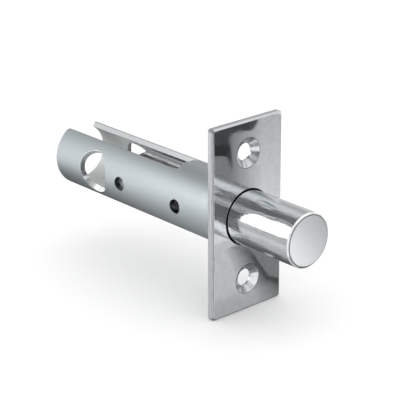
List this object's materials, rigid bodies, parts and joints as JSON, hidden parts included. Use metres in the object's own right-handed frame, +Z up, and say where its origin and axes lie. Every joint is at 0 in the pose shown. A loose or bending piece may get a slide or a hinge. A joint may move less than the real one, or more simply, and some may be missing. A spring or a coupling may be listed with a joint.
{
  "type": "mortise deadbolt",
  "caption": "Round-case mortise deadbolt: a rectangular faceplate, a slotted tube and a sliding round bolt with a toothed rack, driven by a toothed key.",
  "frame": {"origin": "centre of the faceplate's front face, on the bolt's axis", "axes": "+X is the way the bolt is thrown, out of the faceplate; +Z is up, towards the upper screw hole; +Y is towards the blind side, away from the detent holes"},
  "size_m": [0.0995, 0.0264, 0.057],
  "materials": {
    "polished_plate": "mirror-polished nickel-chrome plating",
    "satin_tube": "satin zinc plating",
    "polished_bolt": "bright chrome plating on turned steel",
    "steel_pin": "plain steel",
    "ball_steel": "polished bearing steel",
    "spring_steel": "drawn spring wire"
  },
  "bodies": {
    "case": {"faceplate": "polished_plate", "case_tube": "satin_tube"},
    "bolt_assembly": {"bolt": "polished_bolt", "stop_pin": "steel_pin", "detent_spring": "spring_steel"},
    "ball": {"detent_ball": "ball_steel"}
  },
  "joints": [
    {"name": "bolt_slide", "type": "slide", "parent": "case", "child": "bolt_assembly", "axis": [1, 0, 0], "range_m": [-0.025, 0]},
    {"name": "detent_press", "type": "slide", "parent": "bolt_assembly", "child": "ball", "axis": [0, 1, 0], "range_m": [0, 0.0008], "stiffness_N_per_m": 1500, "springref_m": -0.001, "deforming": ["detent_spring"]}
  ]
}
